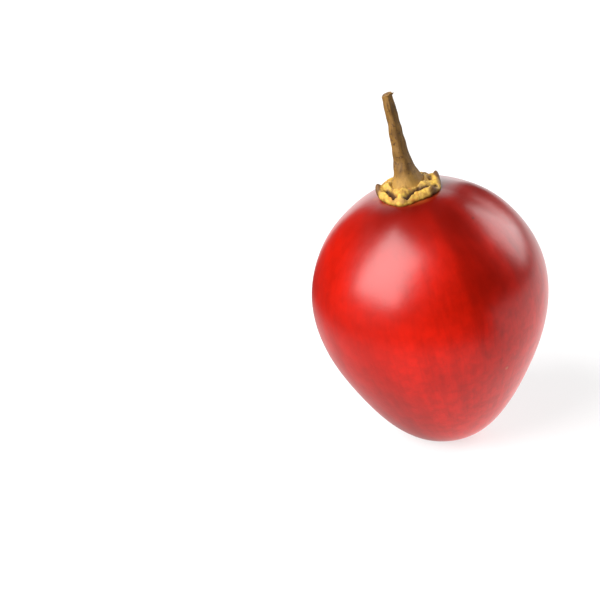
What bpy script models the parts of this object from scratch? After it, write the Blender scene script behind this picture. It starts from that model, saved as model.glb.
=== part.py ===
"""A tamarillo as picked: an egg-shaped fruit, the calyx on its stem end and the stem.

Metres, +Z up. The fruit stands on a small flat spot near its blossom end and leans towards -X. The origin is
the centre of that spot. The fruit, calyx and stem are shaped upright about the fruit's own axis, with the
fruit's middle at zero, and an empty then leans them and sets them down.
"""

import math

import bmesh
import bpy
from mathutils import Matrix, Vector
from mathutils.geometry import intersect_point_line

MM = 0.001
NAME = "tamarillo"

# The fruit. Its skin is traced by an angle from the stem end, 0, to the blossom end, pi.
HALF_LENGTH = 31.55 * MM
HALF_WIDTH = 25.85 * MM
FULLNESS = (0.229, -0.214, -0.091, 0.117)  # what each power of the angle's cosine adds to the half width
HOLLOW_DEPTH = 1.5 * MM  # the shallow hollow that the stem stands in
HOLLOW_ANGLE = 0.33
OVAL = 0.007  # the fruit is a little wider one way than the other
OVAL_TURN = math.radians(20)
THREE_SIDED = 0.005
THREE_SIDED_TURN = math.radians(75)
FULLER = 1.5 * MM  # the side that it leans on has grown fuller near the blossom end
FULLER_ANGLE = math.radians(140)
FULLER_SPREAD = math.radians(30)
FURROW_DEPTH = 0.3 * MM  # soft furrows run out from the calyx, over the shoulder
FURROW_ANGLE = 0.5
FURROW_SPREAD = 0.24
FURROW_TURN = math.radians(30)  # from a ridge of the calyx to full depth
CALYX_WITHIN = 1.0  # the calyx lies well inside this angle from the stem end
SEARCH_STEPS = 24
FRUIT_SEGMENTS = 80
FRUIT_RINGS = 36

# How it rests.
LEAN = math.radians(12)
OUTLINE_STEPS = 720  # of the outline that is searched for the lowest point
FLAT_DEPTH = 2.0 * MM  # how much of the lowest point is pressed flat, enough for it to stand
FLAT_BEYOND = math.radians(100)  # the flat spot lies beyond this angle from the stem end, all round

# The calyx. Angles go round the fruit's axis from +X, in degrees, and reaches are distances from the axis.
GAP = 0.3 * MM  # between pieces that touch
SEAT_REACH = 4.1 * MM  # the stem stands in a shallow seat
SEAT_THICKNESS = 1.2 * MM
CALYX_REACH = 7.0 * MM
CALYX_THICKNESS = 1.75 * MM
CALYX_SLOPE = 0.22  # the thickness lost for each unit of reach beyond the seat
RIM_ROUNDING = 1.1 * MM
THINNEST = 0.3 * MM
THIN_RIM = 0.25  # the share of the rim's rounding over which even the thinnest place closes
CALYX_SEGMENTS = 90
CALYX_RINGS = 30
TOP_RINGS = 20  # of those, the rings from the middle of the top to the rim
# Each lobe: the angle of its ridge, how far it reaches past the others, and how high its tip curls.
LOBES = (
    (184, 0.3 * MM, 1.7 * MM),
    (256, 1.0 * MM, 0.1 * MM),
    (318, 0.7 * MM, 0.4 * MM),
    (8, 0.2 * MM, 1.6 * MM),
    (98, 0.5 * MM, 0.9 * MM),
)
LOBE_SPREAD = 0.4  # how wide a lobe's tip is, in radians round the axis
CURL_SPREAD = 0.3
CURL_START = 0.72  # where a lobe starts to curl, as a share of the rim's reach
RIDGE_HEIGHT = 0.5 * MM
RIDGE_WIDTH = 0.8 * MM
# Each crease between the ridges: its angles and reaches, from one end to the other.
CREASES = (
    ((192, 4.8 * MM), (214, 5.1 * MM), (238, 6.3 * MM)),
    ((264, 6.7 * MM), (282, 5.1 * MM), (298, 4.8 * MM), (310, 5.1 * MM), (322, 6.2 * MM), (335, 6.7 * MM)),
    ((352, 5.0 * MM), (5, 4.9 * MM), (20, 5.5 * MM)),
    ((34, 5.9 * MM), (52, 5.0 * MM), (80, 5.6 * MM)),
    ((112, 6.0 * MM), (138, 4.9 * MM), (168, 5.4 * MM)),
)
CREASE_WIDTH = 0.45 * MM
CREASE_DEPTH = 1.15 * MM

# The stem. Heights are measured up the fruit's axis from the bottom of the hollow.
STEM_TOP = 22.6 * MM
STEM_RADIUS = 2.1 * MM  # at the foot, without its flare
STEM_TIP_RADIUS = 1.1 * MM
FLARE = 1.8 * MM
FLARE_HEIGHT = 4.0 * MM
FLARE_POWER = 1.6
RIB_HEIGHT = 0.2 * MM  # ribs that run on from the calyx's ridges
RIB_FADE = 5.0 * MM
RIB_SPREAD = 0.35
FINE_RIBS = 5
FINE_RIB_HEIGHT = 0.07 * MM
FINE_RIB_TWIST = 60.0  # radians per metre of height
LUMP_HEIGHT = 0.06 * MM
LUMP_LENGTHS = (4.1 * MM, 2.3 * MM)
LUMP_SIDES = 3  # the lumps wind round the stem in this many rows
STEM_STRAY = (-0.38 * MM, 0.3 * MM)  # how far its tip is off the fruit's axis
FOOT_SHIFT = 0.25 * MM
CUT_SLANT = 0.28  # the rise of the cut end for each unit across
SLANT_START = 0.9  # the share of the height from which the rings slant with the cut
PITH_RADIUS = 0.5  # as a share of the cut end's radius
PITH_DEPTH = 0.35 * MM
STEM_SEGMENTS = 25
STEM_RINGS = 30

SKIN_COLOUR = (0.50, 0.012, 0.008, 1.0)
CALYX_COLOUR = (0.56, 0.37, 0.10, 1.0)
STEM_COLOUR = (0.25, 0.14, 0.045, 1.0)


def bell(distance, width):
    """1 at no distance, falling smoothly to nothing beyond about two widths."""
    return math.exp(-((distance / width) ** 2))


def smooth_step(low, high, value):
    share = min(1.0, max(0.0, (value - low) / (high - low)))
    return share * share * (3 - 2 * share)


def turn_between(one, other):
    """The smaller angle between two directions round the axis."""
    return abs((one - other + math.pi) % (2 * math.pi) - math.pi)


def on_circle(angle, reach):
    return Vector((reach * math.cos(angle), reach * math.sin(angle), 0.0))


def furrows(turn):
    """1 halfway between two ridges of the calyx, where the shoulder is furrowed, and 0 at each ridge."""
    angles = [math.radians(lobe[0]) for lobe in LOBES]
    nearest = min(turn_between(turn, angle) for angle in angles)
    return smooth_step(0.0, FURROW_TURN, nearest)


def skin_point(polar, turn):
    """The skin at an angle from the stem end and a turn round the axis."""
    cosine = math.cos(polar)
    fullness = 1 + sum(share * cosine ** (power + 1) for power, share in enumerate(FULLNESS))
    across = HALF_WIDTH * math.sin(polar) * fullness
    up = HALF_LENGTH * cosine - HOLLOW_DEPTH * bell(polar, HOLLOW_ANGLE)
    belly = math.sin(polar) ** 2
    uneven = 1 + belly * (
        OVAL * math.cos(2 * (turn - OVAL_TURN)) + THREE_SIDED * math.cos(3 * (turn - THREE_SIDED_TURN))
    )
    dent = FURROW_DEPTH * furrows(turn) * bell(polar - FURROW_ANGLE, FURROW_SPREAD)
    fuller = FULLER * bell(polar - FULLER_ANGLE, FULLER_SPREAD) * ((1 - math.cos(turn)) / 2) ** 2
    reach = across * uneven + fuller * math.sin(polar)
    point = on_circle(turn, reach) + Vector((0.0, 0.0, up + fuller * math.cos(polar)))
    return point * (1 - dent / point.length)


def skin_height(reach, turn):
    """How high the skin of the stem end is at a distance from the axis, found by halving."""
    low, high = 0.0, CALYX_WITHIN
    for _ in range(SEARCH_STEPS):
        middle = (low + high) / 2
        point = skin_point(middle, turn)
        if math.hypot(point.x, point.y) < reach:
            low = middle
        else:
            high = middle
    return skin_point(low, turn).z


def distance_to_line(point, start, end):
    """How far a point is from the straight line between two others."""
    nearest, share = intersect_point_line(point, start, end)
    if share < 0:
        nearest = start
    elif share > 1:
        nearest = end
    return (point - nearest).length


CREASE_LINES = [[on_circle(math.radians(angle), reach) for angle, reach in stops] for stops in CREASES]


def crease_at(point):
    """1 in the bottom of a crease, 0 away from every crease."""
    nearest = min(
        distance_to_line(point, start, end)
        for line in CREASE_LINES
        for start, end in zip(line, line[1:])
    )
    return bell(nearest, CREASE_WIDTH)


def ridge_at(reach, turn):
    """1 along the ridge of a lobe, 0 between the ridges."""
    return max(bell(reach * turn_between(turn, math.radians(lobe[0])), RIDGE_WIDTH) for lobe in LOBES)


def lobe_at(turn, angle, spread):
    """1 in the middle of the lobe whose ridge is at an angle in degrees, 0 well beside it."""
    return bell(turn_between(turn, math.radians(angle)), spread)


def calyx_reach(turn):
    """How far the calyx's rim is from the axis."""
    return CALYX_REACH + sum(more * lobe_at(turn, angle, LOBE_SPREAD) for angle, more, _ in LOBES)


def curl_at(reach, turn):
    """How high the underside of a lobe stands off the skin."""
    share = smooth_step(CURL_START, 1.0, reach / calyx_reach(turn))
    return share * sum(curl * lobe_at(turn, angle, CURL_SPREAD) for angle, _, curl in LOBES)


def underside(reach, turn):
    return skin_height(reach, turn) + GAP + curl_at(reach, turn)


def calyx_thickness(reach, turn):
    """How thick the calyx is outside the seat: thinner outwards, ridged, creased and round at its rim."""
    thick = CALYX_THICKNESS - CALYX_SLOPE * (reach - SEAT_REACH) + RIDGE_HEIGHT * ridge_at(reach, turn)
    thick -= CREASE_DEPTH * crease_at(on_circle(turn, reach))
    from_rim = (calyx_reach(turn) - reach) / RIM_ROUNDING
    if from_rim < 1:
        thick *= math.sqrt(max(0.0, 1 - (1 - from_rim) ** 2))
    return max(thick, THINNEST * min(1.0, max(0.0, from_rim) / THIN_RIM))


def calyx_point(polar, turn):
    """The calyx's surface: out over its top, round the rim and back under it, as polar goes from 0 to pi."""
    ring = round(CALYX_RINGS * polar / math.pi)
    seat = bottom_of_hollow() + GAP + SEAT_THICKNESS
    rim = calyx_reach(turn)
    if ring > TOP_RINGS:
        reach = rim * (CALYX_RINGS - ring) / (CALYX_RINGS - TOP_RINGS)
        height = underside(reach, turn)
    elif ring > 1:
        reach = SEAT_REACH + (rim - SEAT_REACH) * (ring - 1) / (TOP_RINGS - 1)
        height = underside(reach, turn) + calyx_thickness(reach, turn)
    else:
        reach = SEAT_REACH * ring
        height = seat
    return on_circle(turn, reach) + Vector((0.0, 0.0, height))


def stem_middle(height):
    """Where the stem's middle is at a height: its foot and its tip are both a little off the axis."""
    share = height / STEM_TOP
    foot = FOOT_SHIFT * bell(height, FLARE_HEIGHT)
    return Vector((STEM_STRAY[0] * share + foot, STEM_STRAY[1] * share, height))


def stem_radius(height, turn):
    share = height / STEM_TOP
    plain = STEM_RADIUS + (STEM_TIP_RADIUS - STEM_RADIUS) * share
    plain += FLARE * math.exp(-((height / FLARE_HEIGHT) ** FLARE_POWER))
    nearest = min(turn_between(turn, math.radians(lobe[0])) for lobe in LOBES)
    rib = RIB_HEIGHT * bell(nearest, RIB_SPREAD) * bell(height, RIB_FADE)
    fine = FINE_RIB_HEIGHT * math.cos(FINE_RIBS * turn + FINE_RIB_TWIST * height)
    lumps = sum(
        LUMP_HEIGHT * math.sin(2 * math.pi * height / length + LUMP_SIDES * turn + number)
        for number, length in enumerate(LUMP_LENGTHS)
    )
    return plain + rib + fine + lumps


def material(name, colour, roughness):
    made = bpy.data.materials.new(name)
    made.use_nodes = True
    shader = made.node_tree.nodes["Principled BSDF"]
    shader.inputs["Base Color"].default_value = colour
    shader.inputs["Roughness"].default_value = roughness
    made.diffuse_color = colour
    return made


def finished(name, shape, look, collection):
    """An object made of a finished bmesh, shaded smooth."""
    mesh = bpy.data.meshes.new(name)
    shape.to_mesh(mesh)
    shape.free()
    mesh.materials.append(look)
    mesh.shade_smooth()
    made = bpy.data.objects.new(name, mesh)
    collection.objects.link(made)
    return made


def from_sphere(segments, rings, place):
    """A sphere's rings and segments, each point moved to where place puts its two angles."""
    shape = bmesh.new()
    bmesh.ops.create_uvsphere(shape, u_segments=segments, v_segments=rings, radius=1.0)
    for point in shape.verts:
        polar = math.acos(max(-1.0, min(1.0, point.co.z)))
        point.co = place(polar, math.atan2(point.co.y, point.co.x))
    return shape


def resting_place():
    """The matrix that leans the fruit and stands it on its flat spot, centred on the origin."""
    leant = Matrix.Rotation(-LEAN, 4, "Y")
    outline = []
    for side in (0.0, math.pi):
        steps = range(OUTLINE_STEPS // 2, OUTLINE_STEPS + 1)
        outline += [leant @ skin_point(math.pi * step / OUTLINE_STEPS, side) for step in steps]
    floor = min(point.z for point in outline) + FLAT_DEPTH
    pressed = [point.x for point in outline if point.z < floor]
    middle = (min(pressed) + max(pressed)) / 2
    return Matrix.Translation((-middle, 0.0, -floor)) @ leant


def rim_angle(turn, place):
    """The angle from the stem end at which the skin meets the floor, found by halving."""
    low, high = FLAT_BEYOND, math.pi
    for _ in range(SEARCH_STEPS):
        middle = (low + high) / 2
        if (place @ skin_point(middle, turn)).z > 0:
            low = middle
        else:
            high = middle
    return low


def make_fruit(look, collection, place):
    """The skin down to the rim of the flat spot, and from there a fan of faces to the spot's middle."""
    upright = place.inverted()

    def fruit_point(polar, turn):
        ring = round(FRUIT_RINGS * polar / math.pi)
        if ring == FRUIT_RINGS:
            return upright.translation
        point = skin_point(rim_angle(turn, place) * ring / (FRUIT_RINGS - 1), turn)
        if ring < FRUIT_RINGS - 1:
            return point
        on_floor = place @ point
        on_floor.z = 0.0
        return upright @ on_floor

    return finished("fruit", from_sphere(FRUIT_SEGMENTS, FRUIT_RINGS, fruit_point), look, collection)


def make_calyx(look, collection):
    shape = from_sphere(CALYX_SEGMENTS, CALYX_RINGS, calyx_point)
    return finished("calyx", shape, look, collection)


def make_stem(look, collection):
    """A closed cylinder with rings, each point moved out to the stem's surface at its height."""
    shape = bmesh.new()
    bmesh.ops.create_cone(
        shape, cap_ends=True, segments=STEM_SEGMENTS, radius1=1.0, radius2=1.0, depth=1.0
    )
    sides = [edge for edge in shape.edges if abs(edge.verts[0].co.z - edge.verts[1].co.z) > 0.5]
    bmesh.ops.subdivide_edges(shape, edges=sides, cuts=STEM_RINGS - 1, use_grid_fill=True)
    top = max(shape.faces, key=lambda face: face.calc_center_median().z)
    bmesh.ops.inset_region(shape, faces=[top], thickness=1 - PITH_RADIUS, use_even_offset=False)
    hollow = bottom_of_hollow()
    foot = GAP + SEAT_THICKNESS + GAP
    pith = set(top.verts)
    for point in shape.verts:
        share = point.co.z + 0.5
        turn = math.atan2(point.co.y, point.co.x)
        height = foot + share * (STEM_TOP - foot)
        inward = PITH_RADIUS if point in pith else 1.0
        across = on_circle(turn, stem_radius(height, turn) * inward)
        slant = CUT_SLANT * across.x * smooth_step(SLANT_START, 1.0, share)
        sunk = PITH_DEPTH if point in pith else 0.0
        point.co = stem_middle(height) + across + Vector((0.0, 0.0, hollow + slant - sunk))
    return finished("stem", shape, look, collection)


def bottom_of_hollow():
    return skin_point(0.0, 0.0).z


def main():
    for old in list(bpy.data.objects):
        bpy.data.objects.remove(old)
    collection = bpy.data.collections.new(NAME)
    bpy.context.scene.collection.children.link(collection)
    place = resting_place()
    fruit = make_fruit(material("skin", SKIN_COLOUR, 0.3), collection, place)
    calyx = make_calyx(material("calyx", CALYX_COLOUR, 0.6), collection)
    stem = make_stem(material("stem", STEM_COLOUR, 0.7), collection)
    carrier = bpy.data.objects.new(NAME, None)
    collection.objects.link(carrier)
    carrier.matrix_world = place
    for piece in (fruit, calyx, stem):
        piece.parent = carrier


main()
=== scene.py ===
# %% [markdown]
# # A tamarillo, dressed around its solids
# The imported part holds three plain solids: the fruit, the dry calyx on its stem end, and the stem. This
# lesson builds a finer piece over each of them and paints it with procedural materials, so that the part
# keeps its size and place but looks like the real fruit.

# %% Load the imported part
import math

import bmesh
import bpy
from mathutils import Matrix, Vector
from mathutils.noise import noise


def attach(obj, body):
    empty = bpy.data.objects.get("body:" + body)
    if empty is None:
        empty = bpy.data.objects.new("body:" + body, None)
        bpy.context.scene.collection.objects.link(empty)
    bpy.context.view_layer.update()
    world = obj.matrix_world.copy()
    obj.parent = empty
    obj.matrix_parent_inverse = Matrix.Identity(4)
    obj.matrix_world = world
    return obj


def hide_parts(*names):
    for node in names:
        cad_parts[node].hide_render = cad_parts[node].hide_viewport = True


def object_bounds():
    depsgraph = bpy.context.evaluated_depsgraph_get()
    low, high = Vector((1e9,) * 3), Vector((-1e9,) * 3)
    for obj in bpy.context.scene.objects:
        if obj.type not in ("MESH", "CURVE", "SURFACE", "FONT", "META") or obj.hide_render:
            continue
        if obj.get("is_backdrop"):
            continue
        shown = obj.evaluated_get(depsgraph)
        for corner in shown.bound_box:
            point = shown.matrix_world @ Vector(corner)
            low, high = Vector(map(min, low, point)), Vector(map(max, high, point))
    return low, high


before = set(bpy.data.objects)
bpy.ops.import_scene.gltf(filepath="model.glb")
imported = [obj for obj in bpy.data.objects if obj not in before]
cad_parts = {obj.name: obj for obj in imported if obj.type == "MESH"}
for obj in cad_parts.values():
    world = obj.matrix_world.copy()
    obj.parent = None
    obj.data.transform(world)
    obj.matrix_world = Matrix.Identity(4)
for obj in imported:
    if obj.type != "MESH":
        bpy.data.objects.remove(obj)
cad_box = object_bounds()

MM = 0.001
print("solids:", sorted(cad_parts))

# %% [markdown]
# ## The shape of the fruit as a formula
# A tamarillo is an egg: full at the shoulder, narrow at the blossom end, with a shallow hollow where the
# stem stands. One way to get it is to push a sphere about by eye. Here its outline is a short formula
# instead, because the calyx has to follow the same skin. The angle runs from the stem end, 0, to the
# blossom end, pi. One side has grown a little fuller than the other, as it does on most fruit.

# %% The outline of the fruit
HALF_LENGTH = 31.55 * MM
HALF_WIDTH = 25.85 * MM
# How much fuller than an ellipsoid the fruit is, for each power of the angle's cosine.
FULLNESS = (0.229, -0.214, -0.091, 0.117)
HOLLOW_DEPTH = 1.5 * MM
HOLLOW_ANGLE = 0.33
FULLER = 1.5 * MM
FULLER_ANGLE = math.radians(140)
FULLER_SPREAD = math.radians(30)


def bell(distance, width):
    """1 at no distance, falling smoothly to nothing beyond about two widths."""
    return math.exp(-((distance / width) ** 2))


def smooth_step(start, end, value):
    """0 at the start, 1 at the end and smooth between them."""
    share = min(1.0, max(0.0, (value - start) / (end - start)))
    return share * share * (3 - 2 * share)


def outline(polar):
    """How far out and how high the skin is at an angle from the stem end."""
    cosine = math.cos(polar)
    fullness = 1 + sum(share * cosine ** (power + 1) for power, share in enumerate(FULLNESS))
    height = HALF_LENGTH * cosine - HOLLOW_DEPTH * bell(polar, HOLLOW_ANGLE)
    return HALF_WIDTH * math.sin(polar) * fullness, height


def fuller_at(polar, turn):
    """How much the skin bulges towards -X near the blossom end, on the side that the fruit leans on."""
    return FULLER * bell(polar - FULLER_ANGLE, FULLER_SPREAD) * ((1 - math.cos(turn)) / 2) ** 2


widest = max(outline(math.radians(degrees))[0] for degrees in range(180))
print("widest:", round(2 * widest / MM, 1), "mm")

# %% [markdown]
# ## How it stands
# The fruit leans a little to the left and rests on a small flat spot beside its blossom end. All pieces
# are shaped upright, with the middle of the fruit at zero, and are leant and set down at the end by one
# matrix. The lowest point of the leant outline shows where the floor has to cut it.

# %% Lean it and set it down
LEAN = math.radians(12)
FLAT_DEPTH = 2.0 * MM
OUTLINE_STEPS = 720


def resting_place():
    """The matrix that leans the fruit and stands it on its flat spot, centred on the origin."""
    leant = Matrix.Rotation(-LEAN, 4, "Y")
    points = []
    for side in (0.0, math.pi):
        for step in range(OUTLINE_STEPS // 2, OUTLINE_STEPS + 1):
            polar = math.pi * step / OUTLINE_STEPS
            across, height = outline(polar)
            fuller = fuller_at(polar, side)
            reach = math.cos(side) * (across + fuller * math.sin(polar))
            points.append(leant @ Vector((reach, 0.0, height + fuller * math.cos(polar))))
    floor = min(point.z for point in points) + FLAT_DEPTH
    pressed = [point.x for point in points if point.z < floor]
    middle = (min(pressed) + max(pressed)) / 2
    return Matrix.Translation((-middle, 0.0, -floor)) @ leant


PLACE = resting_place()
CENTRE = PLACE.translation.copy()
print("middle of the fruit, mm:", [round(value / MM, 2) for value in CENTRE])

# %% [markdown]
# ## The camera
# It stands where the photographer stood: in front, looking down at 25 degrees through a long lens, so the
# fruit shows with hardly any perspective. It comes first, so that every later step can be looked at.

# %% Place the camera
LOOK_DOWN = math.radians(25)
DISTANCE = 600 * MM
ASIDE = 30.1 * MM
ABOVE = 2.2 * MM
LENS_MM = 160.6
SENSOR_MM = 36

forward = Vector((0.0, math.cos(LOOK_DOWN), -math.sin(LOOK_DOWN)))
upward = Vector((0.0, math.sin(LOOK_DOWN), math.cos(LOOK_DOWN)))
camera_data = bpy.data.cameras.new("camera")
camera_data.lens = LENS_MM
camera_data.sensor_width = SENSOR_MM
camera = bpy.data.objects.new("camera", camera_data)
bpy.context.scene.collection.objects.link(camera)
camera.location = CENTRE - DISTANCE * forward + Vector((-ASIDE, 0.0, 0.0)) + ABOVE * upward
camera.rotation_euler = (math.pi / 2 - LOOK_DOWN, 0.0, 0.0)
bpy.context.scene.camera = camera
print("camera, mm:", [round(value / MM) for value in camera.location])

# %% [markdown]
# ## Lobes and furrows
# The calyx has five blunt lobes. They are not evenly spaced on a real fruit, so each has an angle of its
# own, round from +X. The skin of the shoulder is faintly furrowed between them, and the fruit is a little
# oval and three-sided, because no berry is quite round.

# %% Where the lobes are
# Each lobe: the angle of its ridge, how far it reaches past the others, and how high its tip curls.
LOBES = (
    (184, 0.3 * MM, 1.7 * MM),
    (256, 1.0 * MM, 0.1 * MM),
    (318, 0.7 * MM, 0.4 * MM),
    (8, 0.2 * MM, 1.6 * MM),
    (98, 0.5 * MM, 0.9 * MM),
)


def turn_between(one, other):
    """The smaller angle between two directions round the axis."""
    return abs((one - other + math.pi) % (2 * math.pi) - math.pi)


def from_lobe(turn):
    """The angle to the nearest ridge of the calyx."""
    return min(turn_between(turn, math.radians(lobe[0])) for lobe in LOBES)


def lobed(turn, column, width):
    """A measure of the lobes at any angle, fading from each ridge over a width."""
    return sum(lobe[column] * bell(turn_between(turn, math.radians(lobe[0])), width) for lobe in LOBES)


def on_circle(angle, reach):
    """The level point at an angle and a distance from the axis."""
    return Vector((reach * math.cos(angle), reach * math.sin(angle), 0.0))


print("lobes:", len(LOBES))

# %% [markdown]
# ## Small helpers for modelling
# Blender's operators act on what is selected, so each piece starts with nothing selected. Every finished
# piece is leant and set down, takes the place of its solid, and rides on the part's only body.

# %% Helpers for modelling
def select_nothing():
    """Leaves Edit Mode and deselects everything."""
    if bpy.context.object and bpy.context.object.mode != "OBJECT":
        bpy.ops.object.mode_set(mode="OBJECT")
    bpy.ops.object.select_all(action="DESELECT")


def set_down(piece):
    """Leans an upright piece and sets it down, with its place in its mesh."""
    piece.matrix_world = PLACE
    bpy.ops.object.transform_apply(location=True, rotation=True, scale=True)


def finish_piece(piece, finish):
    """Paints a piece, puts it in the place of its solid and lets it ride on the body."""
    piece.data.materials.clear()
    piece.data.materials.append(finish)
    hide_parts(piece["stands_for"])
    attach(piece, "root")
    print(piece.name, len(piece.data.polygons), "faces")


def keep_values(piece, name, values):
    """Stores one number for each point of a piece, for its material to read."""
    attribute = piece.data.attributes.new(name, "FLOAT", "POINT")
    attribute.data.foreach_set("value", values)


# %% [markdown]
# ## The fruit
# A turned shape is quickest by Spin: one vertex is extruded along half of the outline and then spun round
# the axis. The doubles on the axis are merged and the normals recalculated, because Spin can turn a shape
# inside out. The soft unevenness of a grown thing is added to the points afterwards. Bisect would cut the
# flat spot with a hard edge, so the lowest points are pressed up to the floor by a formula, which leaves a
# round edge.

# %% Draw half of the outline
PROFILE_STEPS = 110

select_nothing()
bpy.ops.mesh.primitive_plane_add(size=MM, location=(0.0, 0.0, outline(0)[1]))
fruit = bpy.context.object
fruit.name = "fruit_skin"
bpy.ops.object.transform_apply(location=True, rotation=False, scale=False)
bpy.ops.object.mode_set(mode="EDIT")
bpy.ops.mesh.select_all(action="SELECT")
bpy.ops.mesh.merge(type="CENTER")
reached = outline(0)
for step in range(1, PROFILE_STEPS + 1):
    across, height = outline(math.pi * step / PROFILE_STEPS)
    move = (across - reached[0], 0.0, height - reached[1])
    bpy.ops.mesh.extrude_region_move(TRANSFORM_OT_translate={"value": move})
    reached = (across, height)
print("profile points:", PROFILE_STEPS + 1)

# %% Spin it into the fruit
SPIN_STEPS = 180
MERGE_DISTANCE = 0.01 * MM

bpy.ops.mesh.select_all(action="SELECT")
bpy.ops.mesh.spin(steps=SPIN_STEPS, angle=2 * math.pi, center=(0.0, 0.0, 0.0), axis=(0.0, 0.0, 1.0))
bpy.ops.mesh.select_all(action="SELECT")
bpy.ops.mesh.remove_doubles(threshold=MERGE_DISTANCE)
bpy.ops.mesh.normals_make_consistent(inside=False)
bpy.ops.object.mode_set(mode="OBJECT")
print("spun:", len(fruit.data.vertices), "points")

# %% Make it uneven, as grown
OVAL = 0.007
OVAL_TURN = math.radians(20)
THREE_SIDED = 0.005
THREE_SIDED_TURN = math.radians(75)
BELLY_BLEND = 0.6
FURROW_DEPTH = 0.3 * MM
FURROW_ANGLE = 0.5
FURROW_SPREAD = 0.24
HALF_FURROW = math.radians(30)
UNDULATION = 0.09 * MM
UNDULATION_SIZE = 11 * MM
CLEAR_OF_AXIS = (4 * MM, 12 * MM)

for point in fruit.data.vertices:
    place = point.co.copy()
    turn = math.atan2(place.y, place.x)
    reach = math.hypot(place.x, place.y)
    polar = math.atan2(reach, place.z)
    angle = math.acos(max(-1.0, min(1.0, place.z / HALF_LENGTH)))
    belly = smooth_step(0.0, BELLY_BLEND, polar) * smooth_step(math.pi, math.pi - BELLY_BLEND, polar)
    oval = OVAL * math.cos(2 * (turn - OVAL_TURN))
    three_sided = THREE_SIDED * math.cos(3 * (turn - THREE_SIDED_TURN))
    between = smooth_step(0.0, HALF_FURROW, from_lobe(turn))
    dent = FURROW_DEPTH * between * bell(polar - FURROW_ANGLE, FURROW_SPREAD)
    swell = UNDULATION * noise(place / UNDULATION_SIZE) * smooth_step(*CLEAR_OF_AXIS, reach)
    point.co.x *= 1 + (oval + three_sided) * belly
    point.co.y *= 1 + (oval + three_sided) * belly
    point.co *= 1 + (swell - dent) / place.length
    fuller = fuller_at(angle, turn)
    outwards = on_circle(turn, fuller * math.sin(angle))
    point.co += outwards + Vector((0.0, 0.0, fuller * math.cos(angle)))
spans = [max(axis) - min(axis) for axis in zip(*(point.co for point in fruit.data.vertices))]
print("upright size, mm:", [round(span / MM, 1) for span in spans])

# %% Press the flat spot
SOFT_EDGE = 0.12 * MM

set_down(fruit)
for point in fruit.data.vertices:
    point.co.z = (point.co.z + math.hypot(point.co.z, 2 * SOFT_EDGE)) / 2
bpy.ops.object.shade_smooth()
fruit["stands_for"] = "fruit"
print("lowest point, mm:", round(min(point.co.z for point in fruit.data.vertices) / MM, 4))

# %% [markdown]
# ## The calyx
# The calyx is the withered collar of the flower. It hugs the skin, its lobes rise in ridges towards the
# stem, and the dry tissue between the ridges has shrunk and cracked into dark creases. Such a shape is all
# formula and no flat faces, so a sphere is added and each of its points is moved to the surface: the upper
# rings become the top, the lower ones the underside. First come the creases, as lines on the collar.

# %% Creases of the calyx
# Each crease between the ridges: how deep it is, from 0 to 1, and its angles and reaches in millimetres.
CREASES = (
    (1.0, ((204, 5.0), (222, 5.3), (240, 6.3))),
    (1.0, ((264, 6.7), (282, 5.1), (298, 4.8), (310, 5.1), (322, 6.2), (335, 6.7))),
    (0.5, ((354, 5.2), (8, 5.0), (17, 5.7))),
    (0.7, ((38, 6.1), (52, 5.1), (66, 5.4), (76, 6.2))),
    (0.55, ((116, 5.5), (138, 5.0), (160, 6.1))),
)
CREASE_WIDTH = 0.52 * MM
CREASE_RAGGED = 0.45
CREASE_RAGGED_SIZE = 0.9 * MM

CREASE_LINES = [
    (depth, [on_circle(math.radians(angle), reach * MM) for angle, reach in stops])
    for depth, stops in CREASES
]


def distance_to_line(point, start, end):
    """How far a point is from the straight line between two others."""
    along = end - start
    share = min(1.0, max(0.0, (point - start).dot(along) / along.length_squared))
    return (point - start - share * along).length


def crease_at(point):
    """1 in the bottom of the deepest creases, 0 away from every crease. Their edges are ragged."""
    width = CREASE_WIDTH * (1 + CREASE_RAGGED * noise(point / CREASE_RAGGED_SIZE))
    return max(
        depth * bell(distance_to_line(point, start, end), width)
        for depth, line in CREASE_LINES
        for start, end in zip(line, line[1:])
    )


print("creases:", len(CREASES))

# %% [markdown]
# The rim is frayed and its lobes curl up as they dry. The underside follows the skin, which is looked up in
# a table of the outline, so that the collar hugs the fruit wherever it doesn't curl.

# %% Rim and underside of the calyx
CALYX_REACH = 7.0 * MM
LOBE_WIDTH = 0.4
CURL_WIDTH = 0.3
CURL_START = 0.72
# How far the rim frays, and how finely: a few broad waves and many small ones.
FRAYS = ((0.22 * MM, 2.6), (0.1 * MM, 9.0))
SKIN_STEPS = 400

SKIN = [outline(step / SKIN_STEPS) for step in range(SKIN_STEPS)]


def skin_height(reach):
    """How high the skin of the stem end is at a distance from the axis."""
    for (near, high), (far, low) in zip(SKIN, SKIN[1:]):
        if far >= reach:
            return high + (low - high) * (reach - near) / (far - near)
    return SKIN[-1][1]


def calyx_reach(turn):
    """How far the calyx's rim is from the axis, frayed a little."""
    frayed = sum(size * noise(on_circle(turn, fineness)) for size, fineness in FRAYS)
    return CALYX_REACH + lobed(turn, 1, LOBE_WIDTH) + frayed


def curl_at(reach, turn):
    """How high the underside of a lobe stands off the skin."""
    return smooth_step(CURL_START, 1.0, reach / calyx_reach(turn)) * lobed(turn, 2, CURL_WIDTH)


reaches = [calyx_reach(math.radians(degrees)) / MM for degrees in range(360)]
print("rim, mm from the axis:", round(min(reaches), 1), "to", round(max(reaches), 1))

# %% [markdown]
# The top is the underside plus a thickness. That is thinner outwards, higher on the ridges, wrinkled, lower
# in the creases and round at the rim. In the middle it is a plain seat for the stem.

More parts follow.
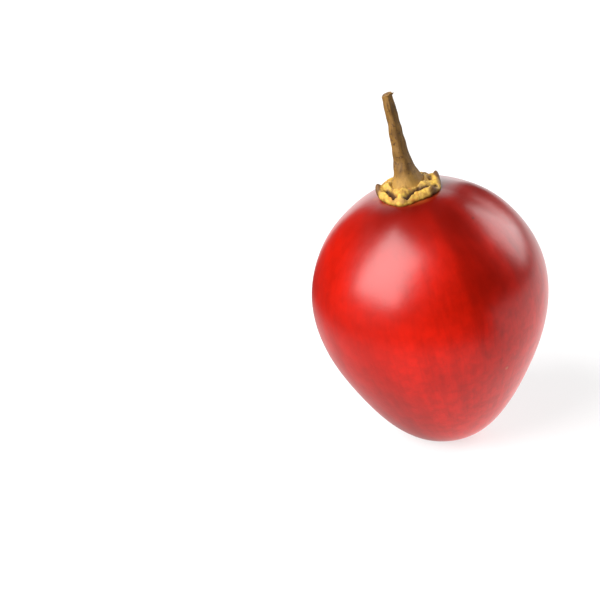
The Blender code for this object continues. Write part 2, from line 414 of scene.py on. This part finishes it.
# %% How thick the calyx is
GAP = 0.3 * MM
SEAT_REACH = 4.1 * MM
SEAT_THICKNESS = 1.2 * MM
SEAT_EDGE = (SEAT_REACH - 0.9 * MM, SEAT_REACH + 0.1 * MM)
CALYX_THICKNESS = 1.75 * MM
CALYX_SLOPE = 0.22
CREASE_DEPTH = 1.4 * MM
RIDGE_HEIGHT = 0.5 * MM
RIDGE_WIDTH = 0.8 * MM
WRINKLES = 18
WRINKLE_HEIGHT = 0.1 * MM
WRINKLE_LENGTH = 3 * MM
LUMP_HEIGHT = 0.16 * MM
LUMP_SIZE = 0.9 * MM
LUMP_OFFSET = Vector((5.0, 0.0, 0.0))
RIM_ROUNDING = 1.1 * MM
THINNEST = 0.25 * MM
THIN_RISE = 4


def wrinkle_at(reach, turn):
    """Fine dry wrinkles that run outwards, and lumps."""
    round_it = on_circle(turn, WRINKLES)
    wrinkles = noise(Vector((round_it.x, round_it.y, reach / WRINKLE_LENGTH)))
    lumps = noise(on_circle(turn, reach / LUMP_SIZE) + LUMP_OFFSET)
    return WRINKLE_HEIGHT * wrinkles + LUMP_HEIGHT * lumps


def outer_thickness(reach, turn):
    """How thick the calyx is outside the stem's seat."""
    ridge = bell(reach * from_lobe(turn), RIDGE_WIDTH)
    thick = GAP + CALYX_THICKNESS - CALYX_SLOPE * (reach - SEAT_REACH) + RIDGE_HEIGHT * ridge
    thick += wrinkle_at(reach, turn) - CREASE_DEPTH * crease_at(on_circle(turn, reach))
    from_rim = (calyx_reach(turn) - reach) / RIM_ROUNDING
    if from_rim < 1:
        thick *= math.sqrt(max(0.0, 1 - (1 - from_rim) ** 2))
    return max(thick, THINNEST * min(1.0, max(0.0, from_rim) * THIN_RISE))


def calyx_thickness(reach, turn):
    """How thick the calyx is anywhere: a flat seat in the middle, then the collar."""
    outside = outer_thickness(max(reach, SEAT_REACH), turn)
    seat = smooth_step(*SEAT_EDGE, reach)
    return (GAP + SEAT_THICKNESS) * (1 - seat) + outside * seat


on_ridge = calyx_thickness(SEAT_REACH, math.radians(LOBES[0][0]))
print("thickness on the first ridge, mm:", round(on_ridge / MM, 2))

# %% Shape the calyx from a sphere
CALYX_SEGMENTS = 240
CALYX_RINGS = 96
TOP_RINGS = 72
SUNK = 0.08 * MM
TIP_END = 0.92
FULL_CURL = 1.2 * MM
LEAST_SCORCH = 0.15

select_nothing()
bpy.ops.mesh.primitive_uv_sphere_add(
    segments=CALYX_SEGMENTS, ring_count=CALYX_RINGS, radius=CALYX_REACH
)
calyx = bpy.context.object
calyx.name = "calyx_collar"
creased, curled, outward = [], [], []
for point in calyx.data.vertices:
    turn = math.atan2(point.co.y, point.co.x)
    polar = math.acos(max(-1.0, min(1.0, point.co.z / CALYX_REACH)))
    ring = round(CALYX_RINGS * polar / math.pi)
    rim = calyx_reach(turn)
    if ring > TOP_RINGS:
        reach = rim * (CALYX_RINGS - ring) / (CALYX_RINGS - TOP_RINGS)
        height = skin_height(reach) - SUNK + curl_at(reach, turn)
    else:
        reach = rim * ring / TOP_RINGS
        height = skin_height(reach) - SUNK + curl_at(reach, turn) + calyx_thickness(reach, turn)
    point.co = on_circle(turn, reach) + Vector((0.0, 0.0, height))
    creased.append(crease_at(on_circle(turn, reach)))
    tip = bell(from_lobe(turn), CURL_WIDTH) * smooth_step(CURL_START, TIP_END, reach / rim)
    curled.append(tip * min(1.0, curl_at(reach, turn) / FULL_CURL + LEAST_SCORCH))
    outward.append(reach / rim)
keep_values(calyx, "creased", creased)
keep_values(calyx, "curled", curled)
keep_values(calyx, "outward", outward)
set_down(calyx)
bpy.ops.object.shade_smooth()
calyx["stands_for"] = "calyx"
print("calyx:", len(calyx.data.vertices), "points")

# %% [markdown]
# ## The stem
# The stem is woody and a little crooked. It flares into the calyx, five ribs run up it from the calyx's
# ridges, and it ends in a slanting cut with a pale pith. A cylinder gets its rings by Subdivide, and each
# point is then moved out to the bark. Inset makes the bark's rim and the hollow of the pith on the cut end.

# %% Sizes of the stem
FOOT = 1.3 * MM
STEM_TOP = 22.6 * MM
STEM_RADIUS = 2.1 * MM
STEM_TIP_RADIUS = 1.1 * MM
STEM_STRAY = (-0.38 * MM, 0.3 * MM)
FOOT_SHIFT = 0.25 * MM
FLARE = 1.8 * MM
FLARE_HEIGHT = 4.0 * MM
FLARE_POWER = 1.6
RIB_HEIGHT = 0.2 * MM
RIB_WIDTH = 0.35
RIB_FADE = 5.0 * MM
FINE_RIBS = 5
FINE_RIB_HEIGHT = 0.07 * MM
FINE_RIB_TWIST = 60.0
# How high the bark's lumps and then its fibres stand, how finely they run round it, and how long they are.
BARK_RELIEF = ((0.22 * MM, 0.8, 2.4 * MM), (0.07 * MM, 5.0, 3.5 * MM))


def stem_middle(height):
    """Where the stem's middle is at a height: its foot and its tip are both a little off the axis."""
    share = height / STEM_TOP
    foot = FOOT_SHIFT * bell(height, FLARE_HEIGHT)
    return Vector((STEM_STRAY[0] * share + foot, STEM_STRAY[1] * share, height))


def bark_radius(height, turn):
    """How far the bark is from the stem's middle: a flared taper with ribs, lumps and fibres."""
    radius = STEM_RADIUS + (STEM_TIP_RADIUS - STEM_RADIUS) * height / STEM_TOP
    radius += FLARE * math.exp(-((height / FLARE_HEIGHT) ** FLARE_POWER))
    radius += RIB_HEIGHT * bell(from_lobe(turn), RIB_WIDTH) * bell(height, RIB_FADE)
    radius += FINE_RIB_HEIGHT * math.cos(FINE_RIBS * turn + FINE_RIB_TWIST * height)
    for relief, fineness, length in BARK_RELIEF:
        radius += relief * noise(on_circle(turn, fineness) + Vector((0.0, 0.0, height / length)))
    return radius


print("stem:", round(2 * bark_radius(FOOT, 0.0) / MM, 1), "mm thick at its foot")

# %% Rings for the stem
STEM_SEGMENTS = 96
STEM_RINGS = 150

select_nothing()
bpy.ops.mesh.primitive_cylinder_add(
    vertices=STEM_SEGMENTS,
    radius=STEM_RADIUS,
    depth=STEM_TOP - FOOT,
    end_fill_type="NGON",
    location=(0.0, 0.0, (STEM_TOP + FOOT) / 2),
)
stem = bpy.context.object
stem.name = "woody_stem"
bpy.ops.object.transform_apply(location=True, rotation=False, scale=False)
bpy.ops.object.mode_set(mode="EDIT")
bpy.ops.mesh.select_mode(type="EDGE")
bpy.ops.mesh.select_all(action="DESELECT")
mesh = bmesh.from_edit_mesh(stem.data)
for edge in mesh.edges:
    edge.select_set(abs(edge.verts[0].co.z - edge.verts[1].co.z) > MM)
bmesh.update_edit_mesh(stem.data)
bpy.ops.mesh.subdivide(number_cuts=STEM_RINGS - 1)
print("rings:", STEM_RINGS)

# %% Move the bark out and cut the end
POLE = outline(0)[1]
CUT_SLANT = 0.28
SLANT_FROM = 0.9
RAGGED_HEIGHT = 0.12 * MM
RAGGED_SIZE = 0.5 * MM
RAGGED_FROM = 0.99
# Each ring of the cut end, from the bark inwards: how wide it is and how far it sinks.
CUT_RINGS = ((0.12 * MM, 0.0), (0.35 * MM, 0.12 * MM), (0.25 * MM, 0.3 * MM))

mesh = bmesh.from_edit_mesh(stem.data)
for point in mesh.verts:
    height = point.co.z
    turn = math.atan2(point.co.y, point.co.x)
    across = on_circle(turn, bark_radius(height, turn))
    slant = CUT_SLANT * across.x * smooth_step(SLANT_FROM, 1.0, height / STEM_TOP)
    torn = smooth_step(RAGGED_FROM, 1.0, height / STEM_TOP)
    ragged = RAGGED_HEIGHT * noise(across / RAGGED_SIZE) * torn
    point.co = stem_middle(height) + across + Vector((0.0, 0.0, POLE + slant + ragged))
bmesh.update_edit_mesh(stem.data)
bpy.ops.mesh.select_mode(type="FACE")
bpy.ops.mesh.select_all(action="DESELECT")
mesh = bmesh.from_edit_mesh(stem.data)
top = max(mesh.faces, key=lambda face: face.calc_center_median().z)
top.select_set(True)
bmesh.update_edit_mesh(stem.data)
for width, sink in CUT_RINGS:
    bpy.ops.mesh.inset(thickness=width, depth=-sink)
bpy.ops.object.mode_set(mode="OBJECT")
keep_values(stem, "up_stem", [(point.co.z - POLE) / STEM_TOP for point in stem.data.vertices])
set_down(stem)
bpy.ops.object.shade_smooth_by_angle(angle=math.radians(50))
stem["stands_for"] = "stem"
print("top of the stem, mm:", round(max(point.co.z for point in stem.data.vertices) / MM, 1))

# %% [markdown]
# ## A short way to write materials
# A material is a graph of nodes, and sums read best as Python. The class below wraps a socket, so that
# `1 - mask * 0.5` adds the Math nodes by itself. One method adds any other node, and a few short ones call
# it for the nodes that come back often.

# %% Nodes written as expressions
class Value:
    """A node's output, to be used in sums."""

    def __init__(self, finish, socket):
        self.finish = finish
        self.socket = socket

    def math(self, operation, first, second, clamp=False):
        settings = {"operation": operation, "use_clamp": clamp}
        return self.finish.add("ShaderNodeMath", settings, {0: first, 1: second})

    def __add__(self, other):
        return self.math("ADD", self, other)

    def __radd__(self, other):
        return self.math("ADD", other, self)

    def __sub__(self, other):
        return self.math("SUBTRACT", self, other)

    def __rsub__(self, other):
        return self.math("SUBTRACT", other, self)

    def __mul__(self, other):
        return self.math("MULTIPLY", self, other)

    def __rmul__(self, other):
        return self.math("MULTIPLY", other, self)

    def clamped(self):
        """The same value, kept between 0 and 1."""
        return self.math("ADD", self, 0.0, clamp=True)

    def step(self, low, high):
        """0 below low, 1 above high and smooth between them."""
        settings = {"interpolation_type": "SMOOTHSTEP"}
        sockets = {"Value": self, "From Min": low, "From Max": high}
        return self.finish.add("ShaderNodeMapRange", settings, sockets)


class Finish:
    """A material and the ways to add nodes to it."""

    def __init__(self, name):
        self.material = bpy.data.materials.new(name)
        self.material.use_nodes = True
        self.tree = self.material.node_tree
        self.shader = self.tree.nodes["Principled BSDF"]

    def add(self, kind, settings=None, sockets=None, output=0):
        """Adds a node: its settings first, then the values or links of its sockets."""
        node = self.tree.nodes.new(kind)
        for name, setting in (settings or {}).items():
            setattr(node, name, setting)
        for name, value in (sockets or {}).items():
            self.feed(node.inputs[name], value)
        return Value(self, node.outputs[output])

    def feed(self, socket, value):
        """Links a value to a socket, or sets the socket to a number, a vector or a colour."""
        if isinstance(value, Value):
            self.tree.links.new(value.socket, socket)
        elif isinstance(value, tuple) and len(value) == 3 and socket.type == "RGBA":
            socket.default_value = (*value, 1.0)
        else:
            socket.default_value = value

    def set(self, **sockets):
        """Sets the shader's own sockets. An underscore stands for a space in a socket's name."""
        for name, value in sockets.items():
            self.feed(self.shader.inputs[name.replace("_", " ")], value)

    def blend(self, factor, first, second):
        """The first colour where factor is 0 and the second where it is 1."""
        return self.add("ShaderNodeMix", {"data_type": "RGBA"}, {0: factor, 6: first, 7: second}, 2)

    def noise(self, vector, scale, detail, roughness=0.5):
        """A soft random pattern. A larger scale makes it finer."""
        sockets = {"Vector": vector, "Scale": scale, "Detail": detail, "Roughness": roughness}
        return self.add("ShaderNodeTexNoise", {}, sockets)

    def vector(self, operation, *operands, output=0):
        """Adds a Vector Math node. A result that is one number comes from output 1."""
        return self.add("ShaderNodeVectorMath", {"operation": operation}, dict(enumerate(operands)), output)

    def attribute(self, name):
        """The numbers that were stored on the points of a piece."""
        return self.add("ShaderNodeAttribute", {"attribute_name": name}, {}, 2)

    def here(self):
        """Object coordinates, which are the same as the part's own."""
        return self.add("ShaderNodeTexCoord", {}, {}, 3)

    def upright(self, stretch=1.0):
        """Those coordinates turned back to the upright fruit, and stretched along it."""
        sockets = {
            "Vector": self.here(),
            "Location": tuple(CENTRE),
            "Rotation": (0.0, -LEAN, 0.0),
            "Scale": (1.0, 1.0, stretch),
        }
        return self.add("ShaderNodeMapping", {"vector_type": "TEXTURE"}, sockets)

    def bump(self, height, distance, normal=None):
        """Relief from a pattern, on top of another normal if there is one."""
        sockets = {"Height": height, "Distance": distance, "Strength": 1.0}
        if normal:
            sockets["Normal"] = normal
        return self.add("ShaderNodeBump", {}, sockets)


print("ready to write materials")

# %% [markdown]
# ## The skin
# The ripe skin is a deep, glossy red. It is not one colour: it is darker round the stem, with soft dark
# streaks from end to end. It is painted brighter towards the blossom end and on the front right, as painted
# light, and darker close round the calyx and in one broad band on the right, between the two highlights,
# as painted shade.
# Where the calyx shaded it, it stayed orange. A pattern that has to run from end to end gets coordinates
# that hardly change along the fruit: the direction from the axis, plus a little of the place itself.

# %% Coordinates on the skin
DRIFT = 8.0

skin = Finish("tamarillo_skin")
place = skin.upright()
along = skin.add("ShaderNodeSeparateXYZ", {}, {0: place}, 2)
level = skin.vector("MULTIPLY", place, (1.0, 1.0, 0.0))
reach = skin.vector("LENGTH", level, output=1)
facing = skin.vector("NORMALIZE", level)
lengthwise = skin.vector("ADD", facing, skin.vector("MULTIPLY", place, (DRIFT, DRIFT, DRIFT)))


def band(turn, width):
    """1 on the line from end to end at an angle round the fruit, 0 beyond a width from it."""
    near = skin.vector("DOT_PRODUCT", facing, tuple(on_circle(math.radians(turn), 1.0)), output=1)
    return near.step(math.cos(math.radians(width)), 1.0)


print("coordinates: along, reach and lengthwise")

# %% [markdown]
# Large areas come first, then the band and the streaks, then the fine mottling, so that each covers the
# last. Two small blemishes, an orange fleck and a dark spot, stand where the fruit has them. The gloss is
# broken by a very fine grain, which Bump gives without adding faces.

# %% Large areas of the skin
# Where each change begins and where it is complete: heights from the middle, then distances from the axis.
BELLY_TO_MIDDLE = (-3 * MM, 14 * MM)
MIDDLE_TO_SHOULDER = (19 * MM, 31 * MM)
LOWER_END_OF_BAND = (5 * MM, 16 * MM)
ABOVE_MIDDLE = (0.0, 10 * MM)
SHADE_ROUND_CALYX = (8 * MM, 12 * MM)


def red(depth):
    """The hue of the ripe skin, brighter or deeper."""
    return (depth, 0.014 * depth, 0.002 * depth)


streaks = skin.noise(lengthwise, scale=5.0, detail=4.0, roughness=0.6)
# Painted light: the red is painted brighter on the front right and towards the blossom end, where the skin
# should be lit more.
painted_light_side = band(-60, 72)
lower = skin.blend(painted_light_side, red(0.38), red(0.82))
middle = skin.blend(painted_light_side, red(0.29), red(0.39))
colour = skin.blend(along.step(*BELLY_TO_MIDDLE), lower, middle)
colour = skin.blend(along.step(*MIDDLE_TO_SHOULDER), colour, red(0.11))
# Painted shade: the skin close round the calyx is painted darker, as if in the calyx's shade.
painted_shade_round_calyx = (1 - reach.step(*SHADE_ROUND_CALYX)) * along.step(*ABOVE_MIDDLE)
colour = skin.blend(painted_shade_round_calyx * 0.5, colour, red(0.06))
# Painted shade: a broad dark band on the right, between the two highlights, broken up by the streaks.
painted_shade_band = band(-58, 16) * along.step(*LOWER_END_OF_BAND) * (0.55 + streaks * 0.9)
colour = skin.blend(painted_shade_band.clamped() * 0.75, colour, red(0.08))
print("the darkest and the brightest red:", red(0.06), red(0.82))

# %% Streaks, mottling and blemishes
STREAKS_FROM_AXIS = (6 * MM, 18 * MM)
HALO_EDGE = (7.2 * MM, 8.8 * MM)
HALO_HEIGHTS = (20 * MM, 24 * MM)
ORANGE = (0.42, 0.11, 0.02)
# Each blemish: its place on the upright fruit in millimetres, its radius and its colour.
BLEMISHES = (
    ((13.7, -18.6, -8.4), 0.55 * MM, (0.7, 0.16, 0.05)),
    ((12.8, -10.7, 24.9), 0.5 * MM, (0.1, 0.004, 0.002)),
)

cloud = skin.noise(place, scale=55.0, detail=3.0)
fine_streaks = skin.noise(lengthwise, scale=22.0, detail=3.0, roughness=0.6)
mottle = skin.noise(place, scale=380.0, detail=4.0, roughness=0.6)
from_pole = reach.step(*STREAKS_FROM_AXIS)
colour = skin.blend(cloud.step(0.35, 0.7) * 0.15, colour, red(0.75))
colour = skin.blend(streaks.step(0.42, 0.7) * from_pole * 0.26, colour, red(0.16))
colour = skin.blend(fine_streaks.step(0.45, 0.75) * from_pole * 0.12, colour, red(0.15))
colour = skin.blend(mottle.step(0.35, 0.7) * 0.24, colour, red(0.14))

ragged = skin.noise(place, scale=400.0, detail=2.0).step(0.3, 0.65)
halo = (1 - reach.step(*HALO_EDGE)) * ragged * along.step(*HALO_HEIGHTS)
colour = skin.blend(halo * 0.25, colour, ORANGE)
for spot, radius, tone in BLEMISHES:
    away = skin.vector("DISTANCE", place, tuple(value * MM for value in spot), output=1)
    colour = skin.blend((1 - away.step(radius * 0.4, radius)) * 0.7, colour, tone)
print("blemishes:", len(BLEMISHES))

# %% Gloss of the skin
GRAIN_HEIGHT = 0.012 * MM
DIMPLE_HEIGHT = 0.03 * MM
GLOSS = 0.285
DULLEST = 0.05

grain = skin.bump(skin.noise(place, scale=1500.0, detail=2.0), GRAIN_HEIGHT)
dimples = skin.noise(place, scale=240.0, detail=2.0)
dull = skin.noise(place, scale=140.0, detail=5.0, roughness=0.65)
skin.set(
    Base_Color=colour,
    Roughness=GLOSS + dull.step(0.3, 0.8) * DULLEST,
    Normal=skin.bump(dimples, DIMPLE_HEIGHT, grain),
    IOR=1.38,
)
finish_piece(fruit, skin.material)

# %% [markdown]
# ## The dry calyx
# The calyx has dried to a yellow ochre, with brown ridges and scorched tips. Its creases are painted nearly
# black and its middle round the stem browner, as painted shade. Its material reads the numbers that were
# stored on its points when it was shaped, so colour and shape agree.

# %% Paint the calyx
OCHRE = (0.52, 0.33, 0.05)
DULL_OCHRE = (0.32, 0.17, 0.028)
RUST = (0.44, 0.15, 0.018)
BROWN = (0.16, 0.075, 0.016)
STEM_FOOT_SHADE = (0.17, 0.083, 0.022)
CREASE_SHADE = (0.04, 0.013, 0.004)
SCORCHED = (0.075, 0.027, 0.008)
SPECK_BROWN = (0.15, 0.07, 0.016)

dry = Finish("dry_calyx")
place = dry.upright()
mottle = dry.noise(place, scale=700.0, detail=5.0, roughness=0.6)
fine = dry.noise(place, scale=2600.0, detail=4.0, roughness=0.6)
rusty = dry.noise(place, scale=330.0, detail=2.0).step(0.54, 0.68)
brown = dry.noise(place, scale=520.0, detail=3.0).step(0.5, 0.66)
# Painted shade: the middle of the calyx round the stem's foot is painted browner.
painted_shade_near_stem = 1 - dry.attribute("outward").step(0.5, 0.74)
colour = dry.blend(mottle.step(0.35, 0.65), OCHRE, DULL_OCHRE)
colour = dry.blend(rusty * 0.75, colour, RUST)
colour = dry.blend(brown * 0.55, colour, BROWN)
colour = dry.blend(painted_shade_near_stem * 0.4, colour, STEM_FOOT_SHADE)
# Painted shade: the creases are painted nearly black.
colour = dry.blend(dry.attribute("creased").step(0.15, 0.65) * 0.95, colour, CREASE_SHADE)
colour = dry.blend(dry.attribute("curled").step(0.1, 0.6) * 0.9, colour, SCORCHED)
colour = dry.blend(fine.step(0.5, 0.8) * 0.35, colour, SPECK_BROWN)
dry.set(
    Base_Color=colour,
    Roughness=0.5 + mottle * 0.25,
    Normal=dry.bump(fine + mottle * 2.0, 0.1 * MM),
    Specular_IOR_Level=0.35,
)
finish_piece(calyx, dry.material)

# %% [markdown]
# ## The woody stem
# The bark is olive brown, with long fibres, darker patches and specks, and fades into the calyx's ochre at
# its foot. The noise is stretched along the stem, so that it reads as fibres.

# %% Paint the stem
OLIVE = (0.20, 0.098, 0.016)
DARK_OLIVE = (0.105, 0.05, 0.009)
FIBRE_BROWN = (0.065, 0.028, 0.006)
DARK_SPECK = (0.045, 0.018, 0.005)
FOOT_YELLOW = (0.36, 0.2, 0.04)

bark = Finish("stem_bark")
fibres = bark.noise(bark.upright(stretch=12.0), scale=2600.0, detail=5.0, roughness=0.6)
patches = bark.noise(bark.upright(stretch=2.5), scale=620.0, detail=4.0, roughness=0.55)
specks = bark.noise(bark.upright(), scale=1500.0, detail=2.0).step(0.56, 0.7)
foot = 1 - bark.attribute("up_stem").step(0.05, 0.24)
colour = bark.blend(patches.step(0.35, 0.65), OLIVE, DARK_OLIVE)
colour = bark.blend(fibres.step(0.4, 0.75) * 0.55, colour, FIBRE_BROWN)
colour = bark.blend(specks * 0.8, colour, DARK_SPECK)
colour = bark.blend(foot * 0.75, colour, FOOT_YELLOW)
bark.set(
    Base_Color=colour,
    Roughness=0.55 + fibres * 0.25,
    Normal=bark.bump(fibres + patches, 0.12 * MM),
    Specular_IOR_Level=0.35,
)
finish_piece(stem, bark.material)

# %% [markdown]
# ## The studio
# The fruit stands on a plain white floor. A photographer keeps the red deep between the highlights with
# dark cloths, just out of the picture. Here the floor and the room do that with the Light Path node, which
# tells apart what the camera sees and what the skin mirrors. The camera sees both white. The skin mirrors
# a dark room, and a floor that is bright close by and towards the right and dark everywhere else.

# %% Floor and room
FLOOR_SIZE = 4.0
FLOOR_DROP = 0.2 * MM
BRIGHT_SIDE = (0.77, 0.64, 0.0)
NEAR_GLOW = 1.08
NEAR_SLOPE = 0.32
FAR_GLOW = 1.5
FAR_EDGE = (0.15, 0.35)
NEAR_TO_FAR = (50 * MM, 105 * MM)
CAMERA_GLOW = 0.7
STRENGTH = 2.0
ROOM_GLOW = 0.01
BLACK = (0.0, 0.0, 0.0)
PALE = (0.25, 0.25, 0.25)
WHITE = (1.0, 1.0, 1.0)

white = Finish("white_floor")
place = white.here()
to_bright = white.vector("DOT_PRODUCT", white.vector("NORMALIZE", place), BRIGHT_SIDE, output=1)
near = NEAR_GLOW + to_bright * NEAR_SLOPE
far = to_bright.step(*FAR_EDGE) * FAR_GLOW
beyond = white.vector("LENGTH", place, output=1).step(*NEAR_TO_FAR)
camera_ray = white.add("ShaderNodeLightPath")
mirrored = (near * (1 - beyond) + far * beyond) * (1 - camera_ray)
white.set(
    Base_Color=white.blend(camera_ray, BLACK, PALE),
    Roughness=0.8,
    Emission_Color=white.blend(
        mirrored * (1 / STRENGTH) + camera_ray * (CAMERA_GLOW / STRENGTH), BLACK, WHITE
    ),
    Emission_Strength=STRENGTH,
)
select_nothing()
bpy.ops.mesh.primitive_plane_add(size=FLOOR_SIZE, location=(0.0, 0.0, -FLOOR_DROP))
floor = bpy.context.object
floor.name = "floor"
bpy.ops.object.transform_apply(location=True, rotation=False, scale=False)
floor.data.materials.append(white.material)
floor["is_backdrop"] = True

room = bpy.data.worlds.new("room")
room.use_nodes = True
background = room.node_tree.nodes["Background"]
background.inputs["Color"].default_value = (*WHITE, 1.0)
path = room.node_tree.nodes.new("ShaderNodeLightPath")
shade = room.node_tree.nodes.new("ShaderNodeMapRange")
shade.inputs["To Min"].default_value = ROOM_GLOW
room.node_tree.links.new(path.outputs["Is Camera Ray"], shade.inputs["Value"])
room.node_tree.links.new(shade.outputs[0], background.inputs["Strength"])
bpy.context.scene.world = room
print("the floor and the room are ready")

# %% [markdown]
# One large soft box in front on the left gives the broad highlight, a weaker one behind on the right gives
# the second, and a dim one at the back lights the edges of the skin and the stem.

# %% Lights
# Each light: its name, the way to it, how far off it is, its width and height, and its face's brightness.
LIGHTS = (
    ("key", (-0.67, -0.44, 0.60), 0.6, 0.51, 0.62, 12.6),
    ("rim", (0.74, 0.49, 0.47), 0.7, 0.42, 0.42, 7.0),
    ("glow_behind", (-0.14, 0.93, 0.35), 1.0, 0.7, 0.8, 2.4),
)


def soft_box(name, direction, distance, width, height, glow):
    """A rectangular light that faces the fruit."""
    light = bpy.data.lights.new(name, "AREA")
    light.shape = "RECTANGLE"
    light.size, light.size_y = width, height
    light.energy = glow * math.pi * width * height
    lamp = bpy.data.objects.new(name, light)
    bpy.context.scene.collection.objects.link(lamp)
    back = Vector(direction).normalized()
    side = Vector((0.0, 0.0, 1.0)).cross(back).normalized()
    turned = Matrix((side, back.cross(side), back)).transposed().to_4x4()
    lamp.matrix_world = Matrix.Translation(CENTRE + distance * back) @ turned


for light in LIGHTS:
    soft_box(*light)
bpy.context.scene.view_settings.view_transform = "Standard"
print("lights:", [light[0] for light in LIGHTS])

# %% [markdown]
# ## The size of the dressed fruit
# The dressed fruit must fill the same box as its solids, so both boxes are printed.

# %% Print the boxes
new_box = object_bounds()
for corner, new_corner in zip(cad_box, new_box):
    print("box, mm:", *([round(value / MM, 2) for value in point] for point in (corner, new_corner)))
